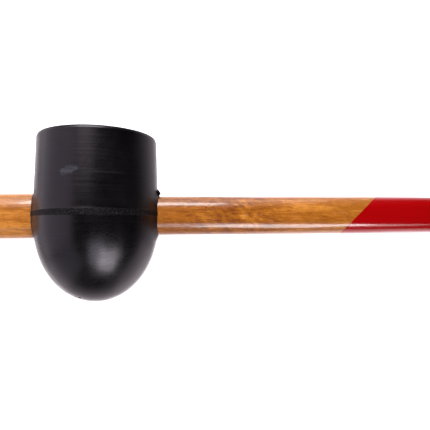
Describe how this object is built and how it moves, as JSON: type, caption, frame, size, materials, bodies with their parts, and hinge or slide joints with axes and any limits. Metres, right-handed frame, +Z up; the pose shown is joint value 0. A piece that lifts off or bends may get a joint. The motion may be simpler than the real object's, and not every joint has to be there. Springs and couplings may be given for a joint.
{
  "type": "rubber mallet",
  "caption": "Paving mallet with a solid rubber head, one flat and one domed end, jammed on the taper of a through handle of varnished hardwood with a slanted red lacquer dip.",
  "frame": {"origin": "centre of the flat striking face, on which the mallet stands", "axes": "+Z up the head's axis towards the dome, +X along the handle towards the grip end, +Y to the side so that the frame is right-handed"},
  "size_m": [0.4, 0.09, 0.12],
  "materials": {
    "rubber": "moulded black rubber, smooth satin with handling scuffs and a rough trimmed flash band",
    "varnished_wood": "clear gloss varnish over straight-grained light brown hardwood",
    "red_lacquer": "thin gloss dipped lacquer over the wood"
  },
  "bodies": {
    "root": {"rubber_head": "rubber", "wooden_handle": "varnished_wood", "grip_lacquer": "red_lacquer"}
  },
  "joints": []
}
